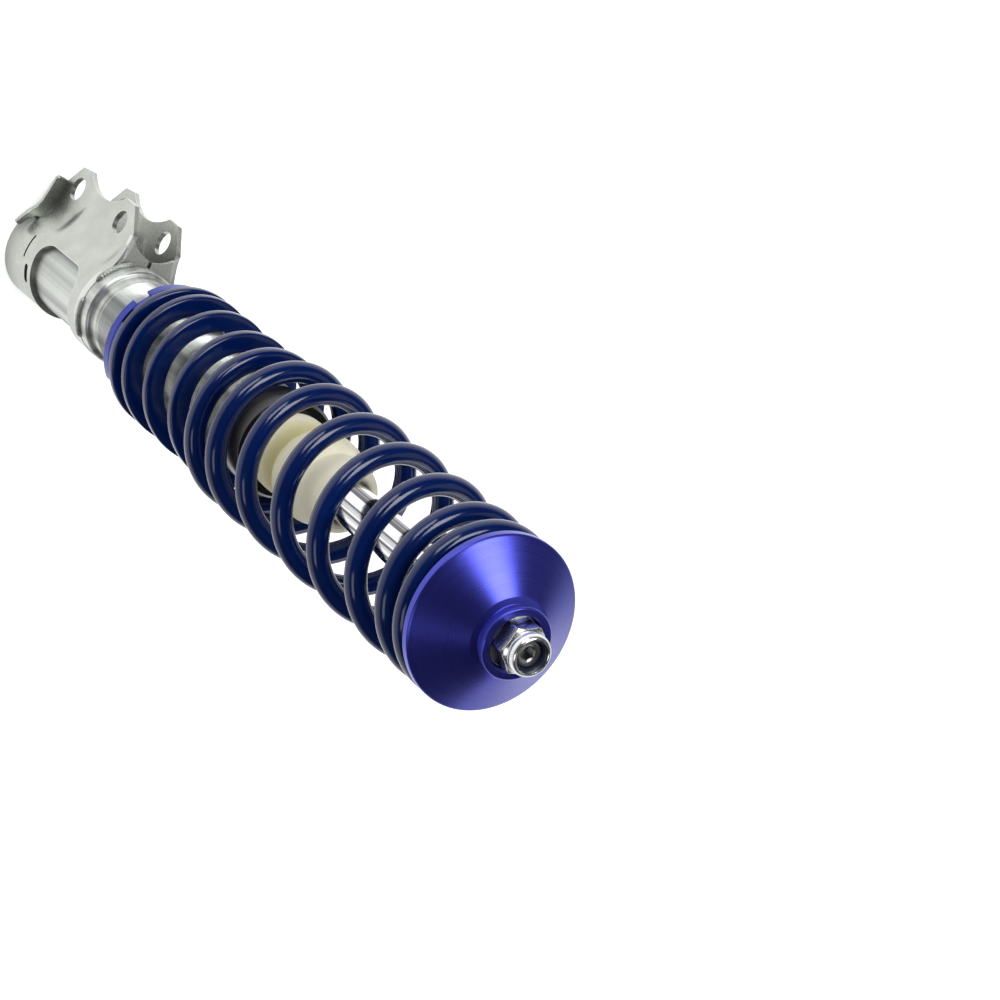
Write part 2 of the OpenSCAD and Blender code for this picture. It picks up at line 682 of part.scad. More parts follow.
// Lock nut with chamfered corners and a rounded collar
module top_nut() {
    r = nut_af / 2;
    crown = nut_af / 2 / cos(30);
    top = nut_hex_h + nut_collar_h;
    color("whitesmoke") on_axis() translate([0, 0, nut_z]) difference() {
        union() {
            intersection() {
                cylinder(r = crown, h = nut_hex_h, $fn = 6);
                rotate_extrude() polygon([
                    [0, 0], [r - 0.2, 0], [crown, 1], [crown, nut_hex_h - 1.2],
                    [r - 0.4, nut_hex_h], [0, nut_hex_h]]);
            }
            rotate_extrude() polygon([
                [0, nut_hex_h - 1], [r - 0.6, nut_hex_h - 1], [r - 0.6, nut_hex_h + 1.5],
                [r - 1, top - 1.8], [r - 2.2, top - 0.4], [r - 3, top], [0, top]]);
        }
        translate([0, 0, -cut]) cylinder(r = stud_d / 2 + 0.02, h = top + 2 * cut);
        translate([0, 0, nut_hex_h + 1]) cylinder(r = r - 2.2, h = nut_collar_h - 1.8);
        translate([0, 0, nut_hex_h]) cylinder(r = r - 2.9, h = nut_collar_h + cut);
    }
}

// Plastic locking ring held in the nut's collar
module nut_insert() {
    color("midnightblue") on_axis()
        ring(nut_af / 2 - 2.22, stud_d / 2 + 0.02, nut_z + nut_hex_h + 1, nut_collar_h - 1.8);
}

strut_tube();
base_cap();
knuckle_bracket();
bracket_welds();
pressure_tube();
base_valve();
rod_guide();
guide_bush();
rod_seal();
gland_cap();
rod_wiper();
lock_ring();
spring_perch();
coil_spring();
bump_stop();
piston_rod();
rebound_stop();
piston();
piston_band();
piston_nut();
upper_spring_seat();
seat_washer();
top_nut();
nut_insert();
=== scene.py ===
from math import cos, floor, pi, radians, sin, sqrt, tau

import bmesh
import bpy
from mathutils import Matrix, Vector


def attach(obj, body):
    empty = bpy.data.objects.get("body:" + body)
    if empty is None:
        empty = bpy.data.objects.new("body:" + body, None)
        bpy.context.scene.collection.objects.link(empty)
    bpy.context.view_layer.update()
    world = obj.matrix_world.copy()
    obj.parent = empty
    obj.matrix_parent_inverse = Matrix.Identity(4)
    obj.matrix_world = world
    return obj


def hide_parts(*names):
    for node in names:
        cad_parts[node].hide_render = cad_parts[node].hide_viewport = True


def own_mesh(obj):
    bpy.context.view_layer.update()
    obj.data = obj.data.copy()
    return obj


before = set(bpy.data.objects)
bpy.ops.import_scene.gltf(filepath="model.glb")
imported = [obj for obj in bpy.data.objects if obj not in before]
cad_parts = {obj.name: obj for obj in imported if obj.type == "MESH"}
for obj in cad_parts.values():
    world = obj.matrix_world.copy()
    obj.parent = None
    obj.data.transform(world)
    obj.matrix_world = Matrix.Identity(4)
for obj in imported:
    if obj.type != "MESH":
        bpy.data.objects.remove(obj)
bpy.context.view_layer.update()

AXIS_X = -41.0  # the strut's axis, in mm from the middle of the knuckle bolts
MM = 0.001  # metres in a millimetre


# ---------- Materials ----------

def wire(tree, kind, inputs=None, **props):
    """A node with its properties and inputs set; an input that is a socket is linked."""
    node = tree.nodes.new(kind)
    for key, value in props.items():
        setattr(node, key, value)
    for key, value in (inputs or {}).items():
        if isinstance(value, bpy.types.NodeSocket):
            tree.links.new(value, node.inputs[key])
        else:
            node.inputs[key].default_value = value
    return node


def maths(tree, operation, a, b=0.0, c=0.0):
    """Result of a maths node on numbers or sockets."""
    return wire(tree, "ShaderNodeMath", {0: a, 1: b, 2: c}, operation=operation).outputs[0]


def place(tree, turned=False):
    """Object coordinates, or (radius, height) about the strut's axis for turning marks."""
    spot = wire(tree, "ShaderNodeTexCoord").outputs["Object"]
    if not turned:
        return spot
    xyz = wire(tree, "ShaderNodeSeparateXYZ", {0: spot}).outputs
    x = maths(tree, "ADD", xyz[0], -AXIS_X * MM)
    radius = maths(tree, "SQRT", maths(tree, "ADD", maths(tree, "MULTIPLY", x, x),
                                       maths(tree, "MULTIPLY", xyz[1], xyz[1])))
    return wire(tree, "ShaderNodeCombineXYZ", {0: radius, 1: xyz[2]}).outputs[0]


def noise(tree, spot, scale, detail=3.0):
    """Noise between 0 and 1 at the place on the piece."""
    return wire(tree, "ShaderNodeTexNoise",
                {"Vector": spot, "Scale": scale, "Detail": detail}).outputs["Fac"]


def spread(tree, value, low, high, start=0.3, end=0.7):
    """Maps start to end onto low to high; noise lies mostly within the defaults."""
    return wire(tree, "ShaderNodeMapRange",
                {"Value": value, "From Min": start, "From Max": end,
                 "To Min": low, "To Max": high}).outputs[0]


def blend_colour(tree, factor, a, b):
    """Colour a where the factor is 0 and b where it is 1."""
    node = tree.nodes.new("ShaderNodeMix")
    node.data_type = "RGBA"
    tree.links.new(factor, node.inputs["Factor"])
    for socket, colour in ((node.inputs[6], a), (node.inputs[7], b)):
        if isinstance(colour, bpy.types.NodeSocket):
            tree.links.new(colour, socket)
        else:
            socket.default_value = (*colour, 1.0)
    return node.outputs[2]


FINE_DETAIL, RELIEF = 4.0, 0.6  # octaves and bump strength of the fine grain


def finish(name, light, dark, rough, metallic=0.0, patch=40.0, grain=900.0, depth=0.00002,
           turned=False, coat=0.0, coat_rough=0.05, specular=0.5, colour=None):
    """A surface whose colour, roughness and relief vary with the place on the piece."""
    material = bpy.data.materials.new(name)
    material.use_nodes = True
    tree = material.node_tree
    shader = tree.nodes["Principled BSDF"]
    spot = place(tree)
    marks = place(tree, turned)
    tone = spread(tree, noise(tree, spot, patch), 0.0, 1.0)
    base = blend_colour(tree, tone, light, dark)
    if colour:
        base = colour(tree, spot, base)
    tree.links.new(base, shader.inputs["Base Color"])
    fine = noise(tree, marks, grain, FINE_DETAIL)
    tree.links.new(spread(tree, fine, rough[0], rough[1]), shader.inputs["Roughness"])
    bump = wire(tree, "ShaderNodeBump", {"Height": fine, "Strength": RELIEF, "Distance": depth})
    tree.links.new(bump.outputs[0], shader.inputs["Normal"])
    shader.inputs["Metallic"].default_value = metallic
    shader.inputs["Coat Weight"].default_value = coat
    shader.inputs["Coat Roughness"].default_value = coat_rough
    shader.inputs["Specular IOR Level"].default_value = specular
    return material


WAIST_Z, WAIST_NEAR, WAIST_FAR = 0.2725, 0.003, 0.012  # metres
WAIST_COLOUR = (0.66, 0.60, 0.30)


def waist_tint(tree, spot, base):
    """The foam is yellower where it is pinched in."""
    z = wire(tree, "ShaderNodeSeparateXYZ", {0: spot}).outputs[2]
    away = maths(tree, "ABSOLUTE", maths(tree, "SUBTRACT", z, WAIST_Z))
    return blend_colour(tree, spread(tree, away, 0.0, 1.0, WAIST_NEAR, WAIST_FAR),
                        WAIST_COLOUR, base)


# Painted highlight along the sheet's edges and painted shade in its corners, hollows and between
# parts
EDGE_HIGHLIGHT_REACH, NOOK_SHADE_REACH = 0.0007, 0.024  # metres
EDGE_HIGHLIGHT_COLOUR, NOOK_SHADE_COLOUR = (0.60, 0.62, 0.59), (0.085, 0.095, 0.08)
SHADE_SAMPLES = 6


def sheet_painted_highlight_and_shade(tree, spot, base):
    """Painted highlight and painted shade on plated sheet: lighter along its edges, darker in its
    corners, hollows and between parts.
    """
    edge = wire(tree, "ShaderNodeAmbientOcclusion", {"Distance": EDGE_HIGHLIGHT_REACH},
                samples=SHADE_SAMPLES, inside=True).outputs["AO"]
    # Painted highlight: lighter along the edges
    base = blend_colour(tree, spread(tree, edge, 0.0, 1.0, 0.50, 0.80), EDGE_HIGHLIGHT_COLOUR, base)
    nook = wire(tree, "ShaderNodeAmbientOcclusion", {"Distance": NOOK_SHADE_REACH},
                samples=SHADE_SAMPLES).outputs["AO"]
    # Painted shade: darker in corners, hollows and between parts
    return blend_colour(tree, spread(tree, nook, 0.0, 1.0, 0.15, 0.85), NOOK_SHADE_COLOUR, base)


def painted_reflection_bands(tone, fine, start, end):
    """Colour of a drawn or ground bar with painted reflections: dark bands of the tone run along
    it.
    """
    def colour(tree, spot, base):
        xyz = wire(tree, "ShaderNodeSeparateXYZ", {0: spot}).outputs
        x = maths(tree, "ADD", xyz[0], -AXIS_X * MM)
        flat = wire(tree, "ShaderNodeCombineXYZ", {0: x, 1: xyz[1]}).outputs[0]
        around = wire(tree, "ShaderNodeVectorMath", {0: flat}, operation="NORMALIZE").outputs[0]
        bands = spread(tree, noise(tree, around, fine, 2.0), 0.0, 1.0, start, end)
        return blend_colour(tree, bands, tone, base)
    return colour


# Dark lengthwise bands on the tube are painted reflections
ZINC = finish("bright_zinc", (0.60, 0.62, 0.59), (0.50, 0.52, 0.49), (0.34, 0.44), 0.92,
              patch=30, grain=700, depth=0.00001, turned=True,
              colour=painted_reflection_bands((0.24, 0.25, 0.24), 2.6, 0.36, 0.60))
# The sheet is given a painted highlight on its edges and painted shade in its hollows
SHEET = finish("zinc_sheet", (0.48, 0.50, 0.46), (0.40, 0.42, 0.385), (0.24, 0.38), 0.9,
               patch=70, grain=1500, depth=0.00004, colour=sheet_painted_highlight_and_shade)
WELD = finish("weld_bead", (0.46, 0.48, 0.45), (0.27, 0.28, 0.26), (0.35, 0.55), 0.9,
              patch=300, grain=1400, depth=0.00008)
ANODISED = finish("violet_anodised", (0.044, 0.050, 0.40), (0.034, 0.038, 0.33), (0.26, 0.33),
                  0.9, patch=25, grain=1200, depth=0.000001, turned=True, coat=0.2,
                  coat_rough=0.25)
# The rings get a darker, bluer copy of the anodised finish: partly their own bluer tone, partly
# painted shade
SHADED_RING_ANODISED = finish("blue_anodised_ring_shaded", (0.014, 0.030, 0.27), (0.014, 0.018, 0.18),
                   (0.24, 0.32), 0.9, patch=90, grain=1200, depth=0.000003, turned=True,
                   coat=0.1, coat_rough=0.2)
PAINT = finish("navy_paint", (0.0004, 0.0095, 0.074), (0.0003, 0.0065, 0.056), (0.10, 0.16), 0.0,
               patch=60, grain=450, depth=0.00002, specular=0.38)
CAP = finish("black_cap", (0.010, 0.010, 0.011), (0.006, 0.006, 0.007), (0.16, 0.26), 0.0,
             patch=60, grain=900, turned=True, specular=0.4)
# Dark lengthwise bands on the rod are painted reflections
CHROME = finish("chrome", (0.76, 0.76, 0.77), (0.68, 0.68, 0.70), (0.06, 0.11), 1.0,
                patch=20, grain=1800, depth=0.000004, turned=True,
                colour=painted_reflection_bands((0.10, 0.10, 0.11), 3.4, 0.42, 0.55))
FOAM = finish("cream_foam", (0.87, 0.84, 0.68), (0.81, 0.77, 0.59), (0.65, 0.8), 0.0,
              patch=90, grain=2200, depth=0.00012, colour=waist_tint)
NUT = finish("nut_zinc", (0.74, 0.75, 0.75), (0.58, 0.60, 0.60), (0.18, 0.28), 1.0,
             patch=160, grain=1600, depth=0.00003)
NYLON = finish("nylon_ring", (0.010, 0.016, 0.040), (0.006, 0.010, 0.028), (0.30, 0.42), 0.0,
               patch=200, grain=1500, depth=0.00003)
RUBBER = finish("black_rubber", (0.020, 0.020, 0.021), (0.012, 0.012, 0.013), (0.5, 0.65), 0.0,
                patch=150, grain=1500, depth=0.00006)
STEEL = finish("plain_steel", (0.42, 0.42, 0.43), (0.33, 0.33, 0.34), (0.28, 0.42), 1.0,
               patch=50, grain=900, turned=True)
BRONZE = finish("bronze", (0.55, 0.34, 0.16), (0.44, 0.26, 0.11), (0.28, 0.4), 1.0,
                patch=80, grain=900, turned=True)
ALLOY = finish("guide_alloy", (0.62, 0.64, 0.68), (0.52, 0.54, 0.58), (0.25, 0.38), 1.0,
               patch=80, grain=900, turned=True)
SINTER = finish("sintered", (0.24, 0.23, 0.22), (0.16, 0.155, 0.15), (0.45, 0.6), 1.0,
                patch=700, grain=2500, depth=0.00006)
PTFE = finish("ptfe_band", (0.10, 0.06, 0.035), (0.07, 0.04, 0.025), (0.35, 0.5), 0.0,
              patch=300, grain=1200)


# ---------- Geometry ----------

def part(name, points, faces, material, body, slot, stands_for=(), smooth=True):
    """A mesh piece from points in mm about the strut's axis."""
    mesh = bpy.data.meshes.new(name)
    mesh.from_pydata([((x + AXIS_X) * MM, y * MM, z * MM) for x, y, z in points],
                     [], faces)
    mesh.materials.append(material)
    piece = bpy.data.objects.new(name, mesh)
    bpy.context.scene.collection.objects.link(piece)
    tidy = bmesh.new()
    tidy.from_mesh(mesh)
    bmesh.ops.remove_doubles(tidy, verts=tidy.verts, dist=1e-7)
    bmesh.ops.recalc_face_normals(tidy, faces=tidy.faces)
    tidy.to_mesh(mesh)
    tidy.free()
    if smooth:
        for face in mesh.polygons:
            face.use_smooth = True
    if body:
        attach(piece, body)
    if stands_for:
        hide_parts(*stands_for)
    return piece


def eased(profile, size, steps=3):
    """The closed profile with its corners rounded to about the given size."""
    out = []
    count = len(profile)
    for i, here in enumerate(profile):
        p, q, s = Vector(profile[i - 1]), Vector(here), Vector(profile[(i + 1) % count])
        a, b = p - q, s - q
        if q.x < 1e-6 or a.length < 1e-6 or b.length < 1e-6 or a.angle(b) > radians(172):
            out.append(tuple(q))
            continue
        reach = min(size, a.length * 0.45, b.length * 0.45)
        start, end = q + a.normalized() * reach, q + b.normalized() * reach
        for k in range(steps + 1):
            t = k / steps
            out.append(tuple(start * (1 - t) ** 2 + q * 2 * t * (1 - t) + end * t * t))
    return out


def ring_mesh(profile, steps):
    """Points and faces of a closed profile turned about the axis."""
    points, faces = [], []
    count = len(profile)
    for k in range(steps):
        a = tau * k / steps
        points += [(r * cos(a), r * sin(a), z) for r, z in profile]
    for k in range(steps):
        n = (k + 1) % steps
        for i in range(count):
            j = (i + 1) % count
            faces.append((k * count + i, k * count + j, n * count + j, n * count + i))
    return points, faces


def turned_part(name, profile, material, body, slot, stands_for=(), ease=0.3, steps=160):
    """A piece turned about the strut's axis from its closed profile of (radius, height)."""
    points, faces = ring_mesh(eased(profile, ease) if ease else profile, steps)
    piece = part(name, points, faces, material, body, slot, stands_for)
    even_out(piece)
    return piece


def lofted(name, levels, material, body, slot, stands_for=(), sides=144, closed=False):
    """Rings stacked up the axis; a level is a radius, or its value at an angle, and a height."""
    points = []
    for reach, z in levels:
        for k in range(sides):
            a = tau * k / sides
            r = reach(a) if callable(reach) else reach
            points.append((r * cos(a), r * sin(a), z))
    count = len(levels)
    faces = [(i * sides + k, i * sides + (k + 1) % sides, (i + 1) % count * sides + (k + 1) % sides,
              (i + 1) % count * sides + k) for i in range(count if closed else count - 1)
             for k in range(sides)]
    if not closed:
        faces += [tuple(range(sides)), tuple((count - 1) * sides + k for k in range(sides))]
    piece = part(name, points, faces, material, body, slot, stands_for)
    piece.data.set_sharp_from_angle(angle=radians(34))
    even_out(piece)
    return piece


def hexagon(flat, limit, turn=0.0):
    """Radius of a hexagon at an angle, cut off at the limit."""
    def reach(a):
        return min(limit, flat / cos((a - radians(turn)) % (pi / 3) - pi / 6))
    return reach


def even_out(piece):
    """Shades flat faces flat beside their rounded edges."""
    shade = piece.modifiers.new("even_shading", "WEIGHTED_NORMAL")
    shade.keep_sharp = True


def baked(piece):
    """Applies the piece's modifiers to its mesh."""
    graph = bpy.context.evaluated_depsgraph_get()
    mesh = bpy.data.meshes.new_from_object(piece.evaluated_get(graph))
    piece.modifiers.clear()
    piece.data = mesh
    return piece


def cut_with(piece, cutters):
    """Takes the cutters out of the piece and removes them."""
    for cutter in cutters:
        boole = piece.modifiers.new("cut", "BOOLEAN")
        boole.operation = "DIFFERENCE"
        boole.solver = "EXACT"
        boole.object = cutter
    bpy.context.view_layer.update()
    baked(piece)
    for cutter in cutters:
        bpy.data.objects.remove(cutter)
    return piece


def soften(piece, width, segments=2, angle=28):
    """Small bevel on the hard edges."""
    bevel = piece.modifiers.new("edges", "BEVEL")
    bevel.width = width * MM
    bevel.segments = segments
    bevel.limit_method = "ANGLE"
    bevel.angle_limit = radians(angle)
    bevel.harden_normals = False
    baked(piece)
    for face in piece.data.polygons:
        face.use_smooth = True
    even_out(piece)
    return piece


def cutter_from(points, faces):
    return part("cutter", points, faces, STEEL, None, None, smooth=False)


def block(low, high, turn=0.0):
    """A cutter box between two corners in mm, turned about the strut's axis by degrees."""
    corners = [(x, y, z) for x in (low[0], high[0]) for y in (low[1], high[1])
               for z in (low[2], high[2])]
    a = radians(turn)
    corners = [(x * cos(a) - y * sin(a), x * sin(a) + y * cos(a), z) for x, y, z in corners]
    faces = [(0, 1, 3, 2), (4, 6, 7, 5), (0, 4, 5, 1), (2, 3, 7, 6), (0, 2, 6, 4), (1, 5, 7, 3)]
    return cutter_from(corners, faces)


def post(radius, low, high, x=0.0, y=0.0, sides=48):
    """A cutter column along Z."""
    points = [(x + radius * cos(tau * k / sides), y + radius * sin(tau * k / sides), z)
              for z in (low, high) for k in range(sides)]
    faces = [tuple(range(sides)), tuple(range(sides, 2 * sides))]
    faces += [(k, (k + 1) % sides, sides + (k + 1) % sides, sides + k) for k in range(sides)]
    return cutter_from(points, faces)


# ---------- Camera ----------

camera = bpy.data.objects.new("camera", bpy.data.cameras.new("camera"))
bpy.context.scene.collection.objects.link(camera)
bpy.context.scene.camera = camera
back = Vector((0.1135, 0.6124, 0.7824)).normalized()
right = Vector((0.4948, -0.7177, 0.4900))
right = (right - back * right.dot(back)).normalized()
up = back.cross(right)
camera.matrix_world = (Matrix.Translation((0.1903, 0.9952, 1.6921))
                       @ Matrix((right, up, back)).transposed().to_4x4())
camera.data.lens = 127.25
camera.data.sensor_width = 36.0
camera.data.clip_end = 50.0


# ---------- Strut tube with its thread ----------

THREAD_LOW, THREAD_HIGH, PITCH = 70.0, 229.0, 1.5
TUBE_R, BORE_R, ROOT_R = 25.0, 22.0, 24.1
TUBE_FOOT, TUBE_TOP, SHOULDER_R = -50, 244, 27.8
RING_BORE = 25.05  # bore of what goes round the tube
STUD_BORE = 7.02  # bore of what goes on the rod's stud
turned_part("tube_body", [
    (BORE_R, TUBE_FOOT), (24.4, TUBE_FOOT), (TUBE_R, -49.4), (TUBE_R, 54), (SHOULDER_R, 54),
    (SHOULDER_R, 62.4),
    (26.6, 63.6), (TUBE_R, 64), (TUBE_R, THREAD_LOW - 1), (ROOT_R - 0.1, THREAD_LOW + 0.6),
    (ROOT_R - 0.1, THREAD_HIGH), (24.6, THREAD_HIGH + 1), (24.6, 243.6), (24.2, TUBE_TOP),
    (BORE_R, TUBE_TOP)], ZINC, "damper_body", "bright_tube", ["strut_tube"], ease=0.35)


def thread(name, low, high, pitch, crest, root, material, body, slot, around=64):
    """A rolled thread as one helical ribbon with flat crests, sunk in at both ends."""
    steps = int(around * ((high - low) / pitch - 1))
    foot = root - 0.25
    profile = ((root, 0.0), (root, 0.12), (crest, 0.42), (crest, 0.70))
    points, faces = [], []
    for i in range(steps + around + 1):
        a = tau * i / around
        z = low + pitch * i / around
        sunk = min(1.0, i * 2 / around, (steps + around - i) * 2 / around)
        for r, along in profile:
            reach = foot + (r - root + 0.25) * sunk
            points.append((reach * cos(a), reach * sin(a), z + along * pitch))
    count = len(profile)
    for i in range(steps):
        for j in range(count):
            a, b = i * count + j, (i + 1) * count + j
            if j < count - 1:
                faces.append((a, b, b + 1, a + 1))
            else:
                up_a, up_b = (i + around) * count, (i + around + 1) * count
                faces.append((a, b, up_b, up_a))
    for i in range(steps, steps + around):
        for j in range(count - 1):
            a, b = i * count + j, (i + 1) * count + j
            faces.append((a, b, b + 1, a + 1))
    return part(name, points, faces, material, body, slot, smooth=False)


thread("tube_thread", THREAD_LOW, THREAD_HIGH, PITCH, TUBE_R, ROOT_R, ZINC, "damper_body",
       "bright_tube")


# ---------- Gland cap ----------

KEY_HOLE_R, KEY_HOLE_REACH = 2.5, 20.5
gland = turned_part("gland_cap_body", [
    (RING_BORE, 230), (26.6, 230), (26.6, 249.6), (24.8, 252), (15, 252), (15, TUBE_TOP),
    (RING_BORE, TUBE_TOP)], CAP, "damper_body", "black_cap", ["gland_cap"], ease=0.4)
cut_with(gland, [post(KEY_HOLE_R, 249, 256, KEY_HOLE_REACH * cos(radians(a)),
                      KEY_HOLE_REACH * sin(radians(a))) for a in (45, 135, 225, 315)])
soften(gland, 0.15)


# ---------- Bump stop ----------

def smoothed(profile, steps=6):
    """Catmull-Rom through the open run of points."""
    out = []
    for i in range(len(profile) - 1):
        p0, p1 = Vector(profile[max(i - 1, 0)]), Vector(profile[i])
        p2, p3 = Vector(profile[i + 1]), Vector(profile[min(i + 2, len(profile) - 1)])
        for k in range(steps):
            t = k / steps
            square, cube = 2 * p0 - 5 * p1 + 4 * p2 - p3, 3 * p1 - p0 - 3 * p2 + p3
            out.append(tuple(0.5 * ((2 * p1) + (p2 - p0) * t + square * t * t
                                    + cube * t ** 3)))
    out.append(profile[-1])
    return out


BUMP_Z, BUMP_H = 252.3, 66.0
# Radius in mm at each share of the height, with the waist at 0.30
BUMP_SIDE = [(21, 0.16), (20, 0.21), (18.5, 0.26), (17.5, 0.30), (18.5, 0.34), (21.5, 0.39),
             (23, 0.44), (23, 0.60), (21.5, 0.65), (19.5, 0.70), (18.5, 0.74), (19, 0.78),
             (18.5, 0.92), (16, 0.98), (14.5, 1)]
bump_side = [(20.6, 1.0), (21, 3)] + [(r, share * BUMP_H) for r, share in BUMP_SIDE]
turned_part("bump_stop_foam", [(r, BUMP_Z + z) for r, z in
            [(11.3, 0), (19, 0)] + smoothed(bump_side) + [(11.3, BUMP_H)]],
            FOAM, "bumper", "cream_foam", ["bump_stop"], ease=0)


# ---------- Piston rod, washer and nut ----------

SOCKET = hexagon(3.0, 3.4, 20)
lofted("rod_chrome", [
    (5, 124), (6, 125), (6, 158), (10, 158), (11, 159), (11, 163.5), (10, 163.5), (10, 165.5),
    (11, 165.5), (11, 468.9), (10.9, 469.6), (10.3, 470), (6.5, 470)], CHROME, "rod",
    "chrome_rod", ["piston_rod"])
lofted("rod_stud", [
    (7, 469.9), (7, 492.8), (6.7, 493.5), (6.1, 493.9), (5.6, 494), (4.2, 494), (3.7, 493.7),
    (SOCKET, 493.2), (SOCKET, 487.5), (1.0, 486.8)], STEEL, "rod", "chrome_rod")

turned_part("washer_plate", [(STUD_BORE, 478), (13.25, 478), (13.25, 480), (STUD_BORE, 480)],
            NUT, "rod", "zinc_nut", ["seat_washer"], ease=0.35)

NUT_HALF, NUT_TURN = 11, -8  # half the width across the flats, and the angle that the photo shows
nut_levels = [(hexagon(NUT_HALF, 11.3 + 1.4 * k / 3, NUT_TURN), 480 + 0.8 * k / 3)
              for k in range(4)]
nut_levels += [(hexagon(NUT_HALF, 12.55, NUT_TURN), z) for z in (481.2, 484, 487, 490)]
nut_levels += [(hexagon(NUT_HALF, 12.7 - 2.3 * (k / 10) ** 0.8, NUT_TURN),
                490.4 + 1.6 * (k / 10) ** 1.3) for k in range(11)]
nut_levels += [(10.15, 492.2), (10.2, 492.9), (10.4, 493.6), (10.5, 494.8), (10.35, 495.9),
               (10.0, 496.9), (9.5, 497.5), (8.95, 497.85), (8.45, 497.8), (8.15, 497.5),
               (8.2, 497.2), (8.8, 497.1), (8.8, 493), (STUD_BORE, 493), (STUD_BORE, 480)]
lofted("nut_body", nut_levels, NUT, "rod", "zinc_nut", ["top_nut"], closed=True)

turned_part("nut_nylon", [
    (STUD_BORE, 493), (8.75, 493), (8.75, 497.1), (8.4, 497.25), (7.4, 496.6),
    (STUD_BORE, 496)], NYLON, "rod", "nylon", ["nut_insert"], ease=0.2)


# ---------- Upper spring seat ----------

turned_part("seat_cone", [
    (43.2, 456), (44, 456.8), (44, 460.3), (43.3, 461), (20.2, 476.5), (16.8, 477.7),
    (16.8, 479.3), (18, 479.9), (18, 483.3), (17.3, 484), (14.35, 484), (13.65, 483.3),
    (13.65, 478), (STUD_BORE, 478), (STUD_BORE, 470), (13, 470), (28.6, 458), (28.6, 448),
    (31.6, 448), (32.6, 449), (32.6, 456)], ANODISED, "rod", "blue_anodised", ["upper_spring_seat"],
    ease=0.35, steps=192)


# ---------- Spring perch and lock ring ----------

NOTCHES, NOTCH_HALF, NOTCH_DEPTH = 4, 4.5, 4


def notched(name, profile, outer, low, high, turn, body, node):
    """A ring with spanner notches through its rim, the first at the given angle."""
    piece = turned_part(name, profile, SHADED_RING_ANODISED, body, "blue_anodised", [node], ease=0.3,
                        steps=192)
    piece.modifiers.clear()
    cut_with(piece, [block((outer - NOTCH_DEPTH, -NOTCH_HALF, low),
                           (outer + NOTCH_DEPTH, NOTCH_HALF, high), turn + 360 / NOTCHES * i)
                     for i in range(NOTCHES)])
    return soften(piece, 0.3)


notched("lock_ring_body", [
    (25.85, 105), (35, 105), (36, 106), (36, 111.9), (35.4, 112.46),
    (RING_BORE, 112.46), (RING_BORE, 105.8)],
    36, 104, 114, 56.5, "locking", "lock_ring")
notched("perch_body", [
    (RING_BORE, 112.5), (35.5, 112.5), (36.5, 113.5), (36.5, 116.5), (35.5, 117.5), (27.8, 117.5),
    (27.8, 125), (26.6, 126.5), (25.65, 126.5), (RING_BORE, 125.7)],
    36.5, 111, 119, 76.5, "perch", "spring_perch")


# ---------- Coil spring ----------

SEAT_Z, SPRING_H, SPRING_TURN, TURNS = 117.5, 338.5, 340.0, 11.75
STRETCH_RISE = [9.5, 22.5, 29, 30, 24.5, 28.5, 38, 37.5, 37.5, 37, 24, 11.5]
STRETCHES = len(STRETCH_RISE)
CLIMBS = [sum(STRETCH_RISE[:k]) for k in range(STRETCHES + 1)]
SLOPES = [0] + [(STRETCH_RISE[k - 1] + STRETCH_RISE[k]) / 2 for k in range(1, STRETCHES)] + [0]
WIRE_LOW, WIRE_HIGH = 3.3, SPRING_H - 5.8
FLAT_UNTIL = 3.65  # turns, and one more until the wire is round
# Each value on the flat coils and what the round ones add to it
WIDTH, THICKNESS, COIL_D, CORNER = (10.8, 0.2), (6, 5), (79, 9.1), (0.42, 0.58)
SIDES, PER_TURN = 28, 96
END_SHRINK, END_INSET = 0.86, 0.003


def rise(t):
    """Height that the wire has climbed after t turns."""
    u = t * STRETCHES / TURNS
    k = min(STRETCHES - 1, int(floor(u)))
    s = u - k
    return (CLIMBS[k] * (2 * s ** 3 - 3 * s * s + 1) + SLOPES[k] * (s ** 3 - 2 * s * s + s)
            + CLIMBS[k + 1] * (3 * s * s - 2 * s ** 3) + SLOPES[k + 1] * (s ** 3 - s * s))


def roundness(t):
    """Runs from 0 on the flat coils to 1 on the round ones."""
    s = min(1.0, max(0.0, t - FLAT_UNTIL))
    return s * s * (3 - 2 * s)


def wire_ring(t, sides, shrink=1.0):
    """Points round the wire's section after t turns."""
    form = roundness(t)
    wide, thick, reach, power = (flat + more * form
                                 for flat, more in (WIDTH, THICKNESS, COIL_D, CORNER))
    wide, thick = wide / 2, thick / 2
    middle = reach / 2 - wide
    a = tau * t + radians(SPRING_TURN)
    z = SEAT_Z + WIRE_LOW + (WIRE_HIGH - WIRE_LOW) * rise(t) / CLIMBS[STRETCHES]
    ring = []
    for k in range(sides):
        b = tau * (k + 0.5) / sides
        cb, sb = cos(b), sin(b)
        r = middle + shrink * wide * (1 if cb > 0 else -1) * abs(cb) ** power
        ring.append((r * cos(a), r * sin(a),
                     z + shrink * thick * (1 if sb > 0 else -1) * abs(sb) ** power))
    return ring


run = int(TURNS * PER_TURN)
rings = [wire_ring(0.0, SIDES, END_SHRINK)]
rings += [wire_ring(min(max(j / PER_TURN, END_INSET), TURNS - END_INSET), SIDES)
          for j in range(run + 1)]
rings += [wire_ring(TURNS, SIDES, END_SHRINK)]
points = [p for ring in rings for p in ring]
faces = [(j * SIDES + k, j * SIDES + (k + 1) % SIDES, (j + 1) * SIDES + (k + 1) % SIDES,
          (j + 1) * SIDES + k) for j in range(len(rings) - 1) for k in range(SIDES)]
faces += [tuple(range(SIDES)), tuple((len(rings) - 1) * SIDES + k for k in range(SIDES))]
spring = part("spring_wire", points, faces, PAINT, "spring", "spring_paint", ["coil_spring"])
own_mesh(spring)


# ---------- Knuckle bracket ----------

